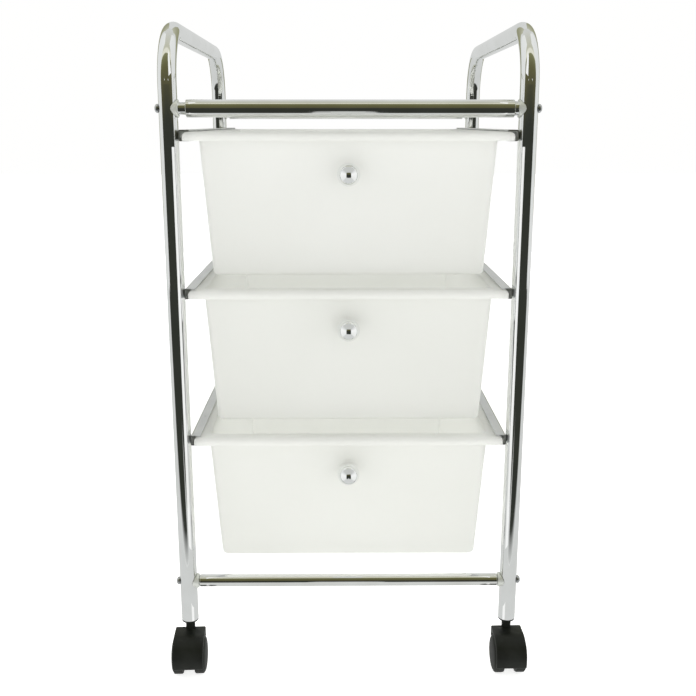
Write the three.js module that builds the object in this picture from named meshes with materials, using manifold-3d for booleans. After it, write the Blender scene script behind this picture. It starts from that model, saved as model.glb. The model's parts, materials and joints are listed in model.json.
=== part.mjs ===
import * as THREE from 'three';
import { mergeVertices } from 'three/addons/utils/BufferGeometryUtils.js';
import Module from 'manifold-3d';

// Three-drawer storage cart on casters. Millimetres, +Z up, the drawer fronts face -Y, the wheels
// stand on Z = 0. Two bent tube side frames carry the rails, the cross bars and the casters.

// Gap left between pieces that touch in the real object.
const GAP = 0.3;

// Side frames: one chromed tube each, bent to an upside-down U.
const TUBE_R = 8.25;
const TUBE_WALL = 1.1;
const TUBE_SIDES = 12;
const FRAME_X = 157.25;
const FRONT_Y = -162.3;
const REAR_Y = 193.5;
const FRAME_TOP_Z = 608;
const LEG_END_Z = 49.3;
const BEND_R = 48.5;
const BEND_STEPS = 6;

// Cross bars between the side frames, and the fittings in their ends.
const TOP_BAR = { z: 539.9, r: 7.6, discR: 7.9, faceX: 148.1 };
const LOW_BAR = { z: 90.0, r: 6.0, discR: 7.0, faceX: 146.6 };
const BAR_WALL = 1;
const SPIGOT_LEN = 14;
// The left end of the front top bar stands off its fitting and shows a narrow neck.
const LONG_NECK = { length: 6.4, r: 5.3 };
const SHORT_NECK = { length: 3.2, r: 6.2 };

// Pan-head screws through the legs into the bar fittings.
const SCREW_R = 2;
const SCREW_LEN = 28;
const SCREW_HEAD_R = 3.9;
const SCREW_HEAD_H = 3.3;

// Rails: channels that open inward, one pair for each drawer.
const RAIL_TOPS = [521.9, 381.9, 242.0];
const RAIL_H = 9.8;
const RAIL_DEPTH = 9.8;
const RAIL_T = 1;
const RAIL_BEND_R = 1.8;
const RAIL_FRONT_Y = FRONT_Y - 6.6;
const RAIL_REAR_Y = REAR_Y + 8.6;

// Drawers: tapered trays with a rolled rim whose sides hang in the rails. At the front the
// rim has a deeper apron that hides the ends of the rails.
const RIM_HALF_X = 145.5;
const RIM_FRONT_Y = FRONT_Y - 9;
const RIM_REAR_Y = REAR_Y + 4;
const RIM_DROP = 1.7;
const RIM_CORNER_R = 3;
const RIM_T = 2;
const SKIRT_H = 6.6;
const SKIRT_T = 1.8;
const APRON_H = 7.8;
const APRON_HALF_X = RIM_HALF_X - 0.8;
const WALL_INSET = 12.6;
const WALL_T = 2;
const WALL_CORNER_R = 5;
const TAPER = 0.0657;
const DRAWER_H = 129;
const CORNER_STEPS = 3;

// Ball knobs on the drawer fronts.
const KNOB_DEPTH = 35.9;
const KNOB_R = 10.4;
const KNOB_REACH = 13.9;
const KNOB_SEGMENTS = 14;

// Twin-wheel casters. The wheel axle trails the swivel axis. At rest each caster is turned
// a little about its stem, in degrees counterclockwise from above.
const TRAIL = 15;
const TURN_FRONT_LEFT = 2.5;
const TURN_FRONT_RIGHT = 1;
const TURN_REAR_LEFT = 9;
const TURN_REAR_RIGHT = -9;
const WHEEL_R = 18.3;
const WHEEL_INNER_X = 6;
const WHEEL_SEGMENTS = 20;
const AXLE_R = 2.5;
const HOOD_R = 21;
const HOOD_HALF_X = 14.8;
const HOOD_SHELL = 1.8;
const HOOD_BACK_Y = 1.5;
const NECK_R = 4.5;
const NECK_TOP_Z = 47.5;
const BOSS_FOOT_Z = 27;
const STEM_R = 3;
const SOCKET_LIP_R = 8.1;

const wasm = await Module();
wasm.setup();

const chrome = new THREE.MeshStandardMaterial({ color: 0xd6d8d8, metalness: 1, roughness: 0.12 });
const zinc = new THREE.MeshStandardMaterial({ color: 0xb4b7b8, metalness: 1, roughness: 0.35 });
const milky = new THREE.MeshStandardMaterial({ color: 0xeff0ea, roughness: 0.45 });
const black = new THREE.MeshStandardMaterial({ color: 0x1c1e1b, roughness: 0.5 });
const steel = new THREE.MeshStandardMaterial({ color: 0x8f9294, metalness: 1, roughness: 0.4 });

const cart = new THREE.Group();
cart.name = 'storage_cart';

// ---------------------------------------------------------------- solids

// Turns a closed three.js geometry into a solid that faces outward.
function solid(geometry) {
  const bare = geometry.clone();
  bare.deleteAttribute('normal');
  bare.deleteAttribute('uv');
  const merged = mergeVertices(bare, 1e-4);
  const points = merged.attributes.position;
  const index = merged.index.array;
  const faces = [];
  let volume = 0;
  const [a, b, c] = [new THREE.Vector3(), new THREE.Vector3(), new THREE.Vector3()];
  for (let i = 0; i < index.length; i += 3) {
    const [p, q, r] = [index[i], index[i + 1], index[i + 2]];
    if (p === q || q === r || p === r) continue;
    faces.push([p, q, r]);
    a.fromBufferAttribute(points, p);
    b.fromBufferAttribute(points, q);
    c.fromBufferAttribute(points, r);
    volume += a.dot(b.cross(c));
  }
  const outward = volume > 0 ? faces : faces.map(([p, q, r]) => [p, r, q]);
  return new wasm.Manifold(new wasm.Mesh({
    numProp: 3,
    vertProperties: Float32Array.from(points.array),
    triVerts: Uint32Array.from(outward.flat()),
  }));
}

// Adds one named piece to the cart.
function piece(name, body, material) {
  const data = body.getMesh();
  const geometry = new THREE.BufferGeometry();
  geometry.setAttribute('position', new THREE.BufferAttribute(Float32Array.from(data.vertProperties), 3));
  geometry.setIndex(new THREE.BufferAttribute(Uint32Array.from(data.triVerts), 1));
  geometry.computeVertexNormals();
  const mesh = new THREE.Mesh(geometry, material);
  mesh.name = name;
  cart.add(mesh);
}

// Sends the axis of a three.js cylinder or lathe, +Y, along +X, +Z or the given direction.
const TO_X = new THREE.Matrix4().makeRotationZ(-Math.PI / 2);
const TO_Z = new THREE.Matrix4().makeRotationX(Math.PI / 2);
const MIRROR_X = new THREE.Matrix4().makeScale(-1, 1, 1);
// Sends a profile drawn in (Y, Z) and extruded along its own third axis to extrude along X.
const PROFILE_YZ = new THREE.Matrix4().makeBasis(
  new THREE.Vector3(0, 1, 0),
  new THREE.Vector3(0, 0, 1),
  new THREE.Vector3(1, 0, 0),
);

// Sends a section drawn in (X, Z) to extrude toward the front, along -Y.
const SECTION_XZ = new THREE.Matrix4().makeRotationX(Math.PI / 2);

function moved(geometry, x, y, z) {
  return geometry.translate(x, y, z);
}

function rod(radius, from, to, sides, matrix) {
  const geometry = new THREE.CylinderGeometry(radius, radius, to - from, sides);
  return geometry.translate(0, (from + to) / 2, 0).applyMatrix4(matrix);
}

// Revolves [radius, height] pairs; a profile that stays off the axis is closed into a ring.
function turned(profile, segments, matrix) {
  const points = profile.map(([r, h]) => new THREE.Vector2(r, h));
  if (profile[0][0] > 0) points.push(points[0].clone());
  return new THREE.LatheGeometry(points, segments).applyMatrix4(matrix);
}

function block([x0, x1], [y0, y1], [z0, z1]) {
  const geometry = new THREE.BoxGeometry(x1 - x0, y1 - y0, z1 - z0);
  return solid(moved(geometry, (x0 + x1) / 2, (y0 + y1) / 2, (z0 + z1) / 2));
}

// ---------------------------------------------------------------- side frames

// Stations along the bent tube, each a centre and a tangent in the YZ plane.
function frameStations() {
  const stations = [{ y: FRONT_Y, z: LEG_END_Z, turn: 0 }];
  const bend = (cy, start) => {
    for (let i = 0; i <= BEND_STEPS; i += 1) {
      const turn = start + (i / BEND_STEPS) * (Math.PI / 2);
      stations.push({
        y: cy - BEND_R * Math.cos(turn),
        z: FRAME_TOP_Z - BEND_R + BEND_R * Math.sin(turn),
        turn,
      });
    }
  };
  bend(FRONT_Y + BEND_R, 0);
  bend(REAR_Y - BEND_R, Math.PI / 2);
  stations.push({ y: REAR_Y, z: LEG_END_Z, turn: Math.PI });
  return stations;
}

// Sweeps a hollow round section along the stations.
function sweptTube(stations) {
  const positions = [];
  const faces = [];
  for (const { y, z, turn } of stations) {
    for (const radius of [TUBE_R, TUBE_R - TUBE_WALL]) {
      for (let k = 0; k < TUBE_SIDES; k += 1) {
        const around = (k / TUBE_SIDES) * 2 * Math.PI;
        const across = radius * Math.sin(around);
        positions.push(radius * Math.cos(around), y - across * Math.cos(turn), z + across * Math.sin(turn));
      }
    }
  }
  const at = (station, wall, k) => station * 2 * TUBE_SIDES + wall * TUBE_SIDES + (k % TUBE_SIDES);
  const quad = (a, b, c, d) => faces.push(a, b, c, a, c, d);
  for (let k = 0; k < TUBE_SIDES; k += 1) {
    for (let s = 0; s + 1 < stations.length; s += 1) {
      quad(at(s, 0, k), at(s, 0, k + 1), at(s + 1, 0, k + 1), at(s + 1, 0, k));
      quad(at(s, 1, k + 1), at(s, 1, k), at(s + 1, 1, k), at(s + 1, 1, k + 1));
    }
    const last = stations.length - 1;
    quad(at(0, 0, k + 1), at(0, 0, k), at(0, 1, k), at(0, 1, k + 1));
    quad(at(last, 0, k), at(last, 0, k + 1), at(last, 1, k + 1), at(last, 1, k));
  }
  const geometry = new THREE.BufferGeometry();
  geometry.setAttribute('position', new THREE.BufferAttribute(Float32Array.from(positions), 3));
  geometry.setIndex(faces);
  return geometry;
}

function buildSideFrames() {
  let frame = solid(sweptTube(frameStations()));
  for (const y of [FRONT_Y, REAR_Y]) {
    for (const bar of [TOP_BAR, LOW_BAR]) {
      const hole = moved(rod(SCREW_R + GAP, -12, 12, 8, TO_X), 0, y, bar.z);
      frame = frame.subtract(solid(hole));
    }
  }
  piece('side_frame_left', frame.translate([-FRAME_X, 0, 0]), chrome);
  piece('side_frame_right', frame.translate([FRAME_X, 0, 0]), chrome);
}

// ---------------------------------------------------------------- cross bars

// One end fitting for a bar, drawn from the leg axis along +X: a disc that cups the leg,
// a neck, and a spigot inside the bar.
function barEnd(bar, neck) {
  const face = FRAME_X - bar.faceX;
  const spigotR = bar.r - BAR_WALL - GAP;
  const neckEnd = face + neck.length;
  const end = neckEnd + SPIGOT_LEN;
  const profile = [
    [0, 0], [bar.discR, 0], [bar.discR, face], [neck.r, face], [neck.r, neckEnd],
    [spigotR, neckEnd], [spigotR, end - 1], [spigotR - 1, end], [0, end],
  ];
  const body = solid(turned(profile, 12, TO_X));
  const leg = solid(rod(TUBE_R + GAP, -20, 20, 20, TO_Z));
  const bore = solid(rod(SCREW_R + GAP, 0, end - 4, 8, TO_X));
  return body.subtract(leg).subtract(bore);
}

function barTube(bar, left, right) {
  const outer = solid(rod(bar.r, left, right, TUBE_SIDES, TO_X));
  const inner = solid(rod(bar.r - BAR_WALL, left - 1, right + 1, TUBE_SIDES, TO_X));
  return outer.subtract(inner);
}

// Pan-head screw, drawn outside the leg at +X with its shank toward the middle of the cart.
function screw() {
  const seat = TUBE_R + GAP;
  const profile = [
    [0, seat - SCREW_LEN], [SCREW_R - 0.6, seat - SCREW_LEN], [SCREW_R, seat - SCREW_LEN + 1],
    [SCREW_R, seat], [SCREW_HEAD_R, seat], [SCREW_HEAD_R, seat + 0.45 * SCREW_HEAD_H],
    [0.72 * SCREW_HEAD_R, seat + 0.88 * SCREW_HEAD_H], [0, seat + SCREW_HEAD_H],
  ];
  return solid(turned(profile, 8, TO_X));
}

function buildBars() {
  const closeNeck = { length: 2 * GAP, r: LOW_BAR.r - BAR_WALL - GAP };
  const rows = [
    { name: 'top_bar_front', bar: TOP_BAR, y: FRONT_Y, left: LONG_NECK, right: SHORT_NECK },
    { name: 'top_bar_rear', bar: TOP_BAR, y: REAR_Y, left: SHORT_NECK, right: SHORT_NECK },
    { name: 'low_bar_front', bar: LOW_BAR, y: FRONT_Y, left: closeNeck, right: closeNeck },
    { name: 'low_bar_rear', bar: LOW_BAR, y: REAR_Y, left: closeNeck, right: closeNeck },
  ];
  for (const { name, bar, y, left, right } of rows) {
    const tube = barTube(bar, -bar.faceX + left.length + GAP, bar.faceX - right.length - GAP);
    piece(name, tube.translate([0, y, bar.z]), chrome);
    piece(`${name}_end_left`, barEnd(bar, left).translate([-FRAME_X, y, bar.z]), zinc);
    const mirrored = barEnd(bar, right).transform(MIRROR_X.elements);
    piece(`${name}_end_right`, mirrored.translate([FRAME_X, y, bar.z]), zinc);
    piece(`${name}_screw_right`, screw().translate([FRAME_X, y, bar.z]), steel);
    piece(`${name}_screw_left`, screw().transform(MIRROR_X.elements).translate([-FRAME_X, y, bar.z]), steel);
  }
}

// ---------------------------------------------------------------- rails

// Right-hand rail with its top at Z = 0: a channel that opens toward the middle of the cart,
// closed at the rear by a tab that stops the drawer.
function rail() {
  const web = FRAME_X - TUBE_R - GAP;
  const lip = web - RAIL_DEPTH;
  const cut = 0.3 * RAIL_BEND_R;
  const section = new THREE.Shape([
    [lip, 0], [lip, -RAIL_H], [web - RAIL_BEND_R, -RAIL_H], [web - cut, -RAIL_H + cut],
    [web, -RAIL_H + RAIL_BEND_R], [web, -RAIL_BEND_R], [web - cut, -cut], [web - RAIL_BEND_R, 0],
  ].map(([x, z]) => new THREE.Vector2(x, z)));
  const length = RAIL_REAR_Y - RAIL_FRONT_Y;
  const bar = new THREE.ExtrudeGeometry(section, { depth: length, bevelEnabled: false, steps: 1 });
  const full = solid(bar.applyMatrix4(SECTION_XZ)).translate([0, RAIL_REAR_Y, 0]);
  const slot = block(
    [lip - 1, web - RAIL_T],
    [RAIL_FRONT_Y - 1, RAIL_REAR_Y - RAIL_T],
    [-RAIL_H + RAIL_T, -RAIL_T],
  );
  return full.subtract(slot);
}

function buildRails() {
  const levels = ['upper', 'middle', 'lower'];
  levels.forEach((level, i) => {
    const right = rail().translate([0, 0, RAIL_TOPS[i]]);
    piece(`rail_${level}_right`, right, zinc);
    piece(`rail_${level}_left`, right.transform(MIRROR_X.elements), zinc);
  });
}

// ---------------------------------------------------------------- drawers

// Corner-rounded rectangle, inset from the rim outline.
function outline(inset, radius) {
  const halfX = RIM_HALF_X - inset;
  const halfY = (RIM_REAR_Y - RIM_FRONT_Y) / 2 - inset;
  const middleY = (RIM_REAR_Y + RIM_FRONT_Y) / 2;
  const points = [];
  for (let corner = 0; corner < 4; corner += 1) {
    const cx = (corner === 0 || corner === 3 ? 1 : -1) * (halfX - radius);
    const cy = (corner < 2 ? 1 : -1) * (halfY - radius);
    for (let i = 0; i <= CORNER_STEPS; i += 1) {
      const angle = (corner + i / CORNER_STEPS) * (Math.PI / 2);
      points.push([cx + radius * Math.cos(angle), middleY + cy + radius * Math.sin(angle)]);
    }
  }
  return points;
}

// Inset of the outer face of the drawer wall at a depth below the rim.
function wallInset(depth) {
  return WALL_INSET + TAPER * (depth - RIM_T);
}

// One drawer with its rim top at Z = 0, from rings of [inset, depth, corner radius] that run
// from the middle of the underside, over the rim, to the middle of the inner floor.
function drawerBody() {
  const floor = DRAWER_H - WALL_T;
  const innerR = WALL_CORNER_R - WALL_T;
  const rings = [
    [wallInset(DRAWER_H) + 4.2, DRAWER_H, WALL_CORNER_R - 4],
    [wallInset(DRAWER_H) + 1.2, DRAWER_H - 1.2, WALL_CORNER_R - 1],
    [wallInset(DRAWER_H - 4.2), DRAWER_H - 4.2, WALL_CORNER_R],
    [wallInset(RIM_T), RIM_T, WALL_CORNER_R],
    [SKIRT_T + 2.4, RIM_T, RIM_CORNER_R],
    [SKIRT_T, RIM_T + 2.6, RIM_CORNER_R - 1.5],
    [SKIRT_T, SKIRT_H, RIM_CORNER_R - 1.5],
    [0, SKIRT_H, RIM_CORNER_R],
    [0, 4, RIM_CORNER_R],
    [1.2, 1.2, RIM_CORNER_R],
    [4, 0, RIM_CORNER_R],
    [WALL_INSET + WALL_T - 1, 0, innerR + 1],
    [WALL_INSET + WALL_T, 1, innerR],
    [wallInset(floor - 4) + WALL_T, floor - 4, innerR],
    [wallInset(floor - 1) + WALL_T + 1.1, floor - 1.1, innerR - 1],
    [wallInset(floor) + WALL_T + 4, floor, innerR - 3],
  ];
  const positions = [];
  const faces = [];
  const count = outline(0, RIM_CORNER_R).length;
  for (const [inset, depth, radius] of rings) {
    for (const [x, y] of outline(inset, radius)) positions.push(x, y, -depth);
  }
  for (let r = 0; r + 1 < rings.length; r += 1) {
    for (let k = 0; k < count; k += 1) {
      const next = (k + 1) % count;
      const [a, b] = [r * count + k, r * count + next];
      faces.push(a, b, b + count, a, b + count, a + count);
    }
  }
  const top = (rings.length - 1) * count;
  for (let k = 1; k + 1 < count; k += 1) {
    faces.push(0, k + 1, k);
    faces.push(top, top + k, top + k + 1);
  }
  const geometry = new THREE.BufferGeometry();
  geometry.setAttribute('position', new THREE.BufferAttribute(Float32Array.from(positions), 3));
  geometry.setIndex(faces);
  const apron = block(
    [-APRON_HALF_X, APRON_HALF_X],
    [RIM_FRONT_Y, RIM_FRONT_Y + SKIRT_T],
    [-APRON_H, -RIM_T - 2],
  );
  return solid(geometry).add(apron);
}

// Ball knob with its neck outside the wall and the screw that holds it inside. The profile
// gives [radius, distance outward from the outer face of the wall].
function knobShape() {
  const inside = -WALL_T - GAP;
  const profile = [
    [0, inside - 2.6], [2.6, inside - 2.2], [3.6, inside - 1], [3.6, inside], [SCREW_R, inside],
    [SCREW_R, GAP], [4.7, GAP], [4.7, 1.2], [3.9, 2.4],
  ];
  const start = Math.asin(3.9 / KNOB_R);
  const steps = 7;
  for (let i = 0; i <= steps; i += 1) {
    const angle = start + (i / steps) * (Math.PI - start);
    const radius = i === steps ? 0 : KNOB_R * Math.sin(angle);
    profile.push([radius, KNOB_REACH - KNOB_R * Math.cos(angle)]);
  }
  return turned(profile, KNOB_SEGMENTS, new THREE.Matrix4());
}

function buildDrawers() {
  const lean = Math.atan(TAPER);
  const wallY = RIM_FRONT_Y + wallInset(KNOB_DEPTH);
  const outward = new THREE.Vector3(0, -Math.cos(lean), -Math.sin(lean));
  const sideways = new THREE.Vector3(1, 0, 0);
  const upright = new THREE.Vector3().crossVectors(sideways, outward);
  const place = new THREE.Matrix4().makeBasis(sideways, outward, upright);
  place.setPosition(0, wallY, -KNOB_DEPTH);
  const bore = rod(SCREW_R + GAP, -6, 4, 8, place);
  const body = drawerBody().subtract(solid(bore));
  const knob = solid(knobShape().applyMatrix4(place));
  const levels = ['upper', 'middle', 'lower'];
  levels.forEach((level, i) => {
    const z = RAIL_TOPS[i] - RIM_DROP;
    piece(`drawer_${level}`, body.translate([0, 0, z]), milky);
    piece(`drawer_${level}_knob`, knob.translate([0, 0, z]), chrome);
  });
}

// ---------------------------------------------------------------- casters

// Hood drawn in side view around the swivel axis at Y = 0: an arc over the wheels, a flat
// top, and a web between the wheels. A boss round the stem's bore rises through the top as
// the neck.
function hoodProfile() {
  const shape = new THREE.Shape();
  const drop = THREE.MathUtils.degToRad(14);
  shape.moveTo(-26, 10.5);
  shape.lineTo(-8, 9);
  shape.lineTo(-3, 13);
  shape.lineTo(HOOD_BACK_Y, 27);
  shape.lineTo(HOOD_BACK_Y, WHEEL_R + HOOD_R - 1);
  shape.lineTo(HOOD_BACK_Y - 1, WHEEL_R + HOOD_R);
  const steps = 8;
  for (let i = 0; i <= steps; i += 1) {
    const angle = Math.PI / 2 + (i / steps) * (Math.PI / 2 + drop);
    shape.lineTo(-TRAIL + HOOD_R * Math.cos(angle), WHEEL_R + HOOD_R * Math.sin(angle));
  }
  shape.closePath();
  return shape;
}

function hood() {
  const options = { depth: 2 * HOOD_HALF_X, bevelEnabled: false, steps: 1 };
  const block = new THREE.ExtrudeGeometry(hoodProfile(), options).translate(0, 0, -HOOD_HALF_X);
  let body = solid(block.applyMatrix4(PROFILE_YZ));
  const web = WHEEL_INNER_X - GAP;
  for (const side of [-1, 1]) {
    const [from, to] = side < 0 ? [-HOOD_HALF_X - 1, -web] : [web, HOOD_HALF_X + 1];
    const well = rod(HOOD_R - HOOD_SHELL, from, to, 20, TO_X);
    body = body.subtract(solid(moved(well, 0, -TRAIL, WHEEL_R)));
  }
  body = body.add(solid(rod(NECK_R, BOSS_FOOT_Z, NECK_TOP_Z, 12, TO_Z)));
  body = body.subtract(solid(rod(STEM_R + GAP, 29, NECK_TOP_Z + 1, 8, TO_Z)));
  const axleHole = moved(rod(AXLE_R + GAP, -20, 20, 8, TO_X), 0, -TRAIL, WHEEL_R);
  return body.subtract(solid(axleHole));
}

// Wheel on the +X side of the web: a flat tread and a domed outer face that hides the axle.
// One facet of the tread lies flat on the floor.
function wheel() {
  const halfFacet = Math.PI / WHEEL_SEGMENTS;
  const tread = WHEEL_R / Math.cos(halfFacet);
  const profile = [
    [0, 14.6], [AXLE_R + GAP, 14.6], [AXLE_R + GAP, WHEEL_INNER_X], [tread - 1.6, WHEEL_INNER_X],
    [tread, WHEEL_INNER_X + 1.2], [tread, 14.2], [15.4, 16.2], [9, 17.1], [0, 17.4],
  ];
  const turnedWheel = turned(profile, WHEEL_SEGMENTS, TO_X).rotateX(halfFacet);
  return moved(turnedWheel, 0, -TRAIL, WHEEL_R);
}

// Plastic socket inside the leg, with a lip under the end of the tube.
function socket() {
  const bore = STEM_R + GAP;
  const bodyR = TUBE_R - TUBE_WALL - GAP;
  const lipTop = LEG_END_Z - GAP;
  const profile = [
    [bore, NECK_TOP_Z + GAP], [SOCKET_LIP_R, NECK_TOP_Z + GAP], [SOCKET_LIP_R, lipTop],
    [bodyR, lipTop], [bodyR, LEG_END_Z + 24], [bodyR - 1, LEG_END_Z + 27], [bore, LEG_END_Z + 27],
  ];
  return turned(profile, 12, TO_Z);
}

function buildCasters() {
  const axle = moved(rod(AXLE_R, -14.2, 14.2, 8, TO_X), 0, -TRAIL, WHEEL_R);
  const stem = turned([[0, 30], [STEM_R, 30], [STEM_R, 74.5], [2.2, 75.7], [0, 75.7]], 8, TO_Z);
  const shapes = [
    ['hood', hood(), black],
    ['axle', solid(axle), steel],
    ['wheel_right', solid(wheel()), black],
    ['wheel_left', solid(wheel()).transform(MIRROR_X.elements), black],
    ['stem', solid(stem), steel],
    ['socket', solid(socket()), black],
  ];
  const corners = [
    ['front_left', -FRAME_X, FRONT_Y, TURN_FRONT_LEFT],
    ['front_right', FRAME_X, FRONT_Y, TURN_FRONT_RIGHT],
    ['rear_left', -FRAME_X, REAR_Y, TURN_REAR_LEFT],
    ['rear_right', FRAME_X, REAR_Y, TURN_REAR_RIGHT],
  ];
  for (const [corner, x, y, turn] of corners) {
    for (const [part, body, material] of shapes) {
      piece(`caster_${corner}_${part}`, body.rotate([0, 0, turn]).translate([x, y, 0]), material);
    }
  }
}

buildSideFrames();
buildBars();
buildRails();
buildDrawers();
buildCasters();

export default cart;
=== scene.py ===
"""Looks for a three-drawer storage cart: chromed tube frame, milky plastic drawers, black casters.

Lengths below are in millimetres and are turned into metres by MM when a mesh is made. The studio
at the end is in metres.
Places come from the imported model: every fine piece is built around the node it stands for.
"""

import json
import math

import bmesh
import bpy
from mathutils import Matrix, Vector


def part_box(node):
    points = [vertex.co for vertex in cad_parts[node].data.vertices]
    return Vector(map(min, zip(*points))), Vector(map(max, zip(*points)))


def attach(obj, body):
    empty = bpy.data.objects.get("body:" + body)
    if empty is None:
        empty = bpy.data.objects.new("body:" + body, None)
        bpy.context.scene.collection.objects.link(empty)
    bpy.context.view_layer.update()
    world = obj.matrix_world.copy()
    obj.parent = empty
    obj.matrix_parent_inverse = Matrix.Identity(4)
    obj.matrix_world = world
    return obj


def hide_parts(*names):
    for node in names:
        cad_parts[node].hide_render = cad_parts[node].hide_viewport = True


MM = 0.001

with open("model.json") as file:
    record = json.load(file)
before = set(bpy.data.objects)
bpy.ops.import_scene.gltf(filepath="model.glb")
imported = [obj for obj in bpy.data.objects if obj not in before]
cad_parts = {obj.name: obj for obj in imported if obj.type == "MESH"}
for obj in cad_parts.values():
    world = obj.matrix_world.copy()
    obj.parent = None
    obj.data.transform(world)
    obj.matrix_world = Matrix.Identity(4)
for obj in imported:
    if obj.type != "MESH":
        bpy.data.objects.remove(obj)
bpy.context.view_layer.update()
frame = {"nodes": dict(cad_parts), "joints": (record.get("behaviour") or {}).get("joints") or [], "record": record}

# ---------------------------------------------------------------- shared sizes

GAP = 0.3
MERGE = 0.002
TUBE_R = 8.25
TUBE_WALL = 1.1
BEND_R = 48.5
TUBE_SIDES = 56
BEND_STEPS = 22

BAR_WALL = 1.0
TOP_FACE = 9.15
LOW_FACE = 10.65
SPIGOT_LEN = 14.0
NECK_MIN_R = 5.3
NECK_MAX_R = 6.2
SHANK_R = 2.0

RAIL_T = 1.0
RAIL_BEND_R = 1.8
DIMPLE_R = 2.2
DIMPLE_DEPTH = 0.42
DIMPLE_FROM_END = 60.0

RIM_T = 2.0
RIM_EDGE_R = 4.2
SKIRT_H = 6.6
SKIRT_T = 1.8
APRON_H = 7.8
WALL_INSET = 12.6
WALL_T = 2.0
WALL_CORNER_R = 5.0
TAPER = 0.0657

KNOB_R = 10.4
KNOB_REACH = 13.9
KNOB_DEPTH = 35.9

TRAIL = 15.0
WHEEL_R = 18.3
WHEEL_INNER = 6.0
HOOD_R = 21.0
HOOD_HALF_X = 14.8
HOOD_SHELL = 1.8
HOOD_BACK = 1.5
HOOD_DROP = 14.0
HOOD_EDGE = 1.1
NECK_R = 4.5
NECK_TOP = 47.5
BOSS_FOOT = 27.0
AXLE_R = 2.5
AXLE_BORE_END = 14.6
STEM_R = 3.0
STEM_BORE_END = 29.0

CAMERA_LENS = 48.267
CAMERA_PLACE = (-7.62, -1002.7, 527.6)
CAMERA_TURN = (76.442, 0.0, -0.482)

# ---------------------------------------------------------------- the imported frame

BODY_OF = {}
for body_name, members in frame["record"]["behaviour"]["bodies"].items():
    for member in members:
        BODY_OF[member] = body_name

JOINTS = {joint["name"]: joint for joint in frame["joints"]}


def node_box(node):
    """Lowest and highest corner of a CAD node, in millimetres."""
    low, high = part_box(node)
    return low / MM, high / MM


# ---------------------------------------------------------------- materials


class Paint:
    """A node material built step by step around one Principled shader."""

    def __init__(self, name, **sockets):
        self.material = bpy.data.materials.new(name)
        self.material.use_nodes = True
        self.tree = self.material.node_tree
        self.shader = self.tree.nodes["Principled BSDF"]
        self.output = self.tree.nodes["Material Output"]
        for socket, value in sockets.items():
            self.shader.inputs[socket.replace("_", " ")].default_value = value
        self.place = self.node("ShaderNodeTexCoord").outputs["Object"]

    def node(self, kind, **values):
        made = self.tree.nodes.new(kind)
        for key, value in values.items():
            setattr(made, key, value)
        return made

    def link(self, source, target):
        self.tree.links.new(source, target)

    def stretched(self, scale):
        mapping = self.node("ShaderNodeMapping")
        mapping.inputs["Scale"].default_value = scale
        self.link(self.place, mapping.inputs["Vector"])
        return mapping.outputs["Vector"]

    def noise(self, scale, detail=3.0, stretch=None):
        made = self.node("ShaderNodeTexNoise")
        made.inputs["Scale"].default_value = scale
        made.inputs["Detail"].default_value = detail
        self.link(self.stretched(stretch) if stretch else self.place, made.inputs["Vector"])
        return made.outputs["Fac"]

    def ranged(self, value, low, high, to_low, to_high):
        made = self.node("ShaderNodeMapRange")
        for socket, number in zip(("From Min", "From Max", "To Min", "To Max"), (low, high, to_low, to_high)):
            made.inputs[socket].default_value = number
        self.link(value, made.inputs["Value"])
        return made.outputs["Result"]

    def added(self, first, second):
        made = self.node("ShaderNodeMath", operation="ADD")
        self.link(first, made.inputs[0])
        self.link(second, made.inputs[1])
        return made.outputs[0]

    def colours(self, value, stops):
        made = self.node("ShaderNodeValToRGB")
        ramp = made.color_ramp
        while len(ramp.elements) < len(stops):
            ramp.elements.new(0.5)
        for element, (position, colour) in zip(ramp.elements, stops):
            element.position = position
            element.color = (*colour, 1.0)
        self.link(value, made.inputs["Fac"])
        return made.outputs["Color"]

    def bump(self, height, strength, distance):
        made = self.node("ShaderNodeBump")
        made.inputs["Strength"].default_value = strength
        made.inputs["Distance"].default_value = distance
        self.link(height, made.inputs["Height"])
        self.link(made.outputs["Normal"], self.shader.inputs["Normal"])


def plated(name, colour, dull, roughness, grain, stretch=None, metallic=1.0):
    """Bright or satin plating: smudges, slight tarnish and fine scratches."""
    paint = Paint(name, Metallic=metallic)
    smudge = paint.noise(22.0, 4.0)
    scratches = paint.noise(900.0, 2.0, stretch)
    tint = paint.colours(smudge, [(0.35, dull), (0.62, colour)])
    paint.link(tint, paint.shader.inputs["Base Color"])
    soft = paint.ranged(smudge, 0.3, 0.75, roughness[0], roughness[1])
    fine = paint.ranged(scratches, 0.55, 0.8, 0.0, roughness[2])
    paint.link(paint.added(soft, fine), paint.shader.inputs["Roughness"])
    paint.bump(scratches, grain, 0.00005)
    return paint.material


def milky_plastic():
    """Translucent white polypropylene: satin skin, faint flow marks, light through the wall."""
    paint = Paint("milky_plastic", IOR=1.49)
    clouds = paint.noise(9.0, 3.0)
    grain = paint.noise(1600.0, 2.0)
    tint = paint.colours(clouds, [(0.3, (0.940, 0.945, 0.924)), (0.7, (0.962, 0.966, 0.948))])
    paint.link(tint, paint.shader.inputs["Base Color"])
    paint.link(paint.ranged(clouds, 0.3, 0.7, 0.40, 0.50), paint.shader.inputs["Roughness"])
    paint.bump(grain, 0.12, 0.0001)
    glow = paint.node("ShaderNodeBsdfTranslucent")
    glow.inputs["Color"].default_value = (0.972, 0.976, 0.955, 1.0)
    mix = paint.node("ShaderNodeMixShader")
    mix.inputs["Fac"].default_value = 0.52
    paint.link(paint.shader.outputs["BSDF"], mix.inputs[1])
    paint.link(glow.outputs["BSDF"], mix.inputs[2])
    paint.link(mix.outputs["Shader"], paint.output.inputs["Surface"])
    return paint.material


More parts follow.
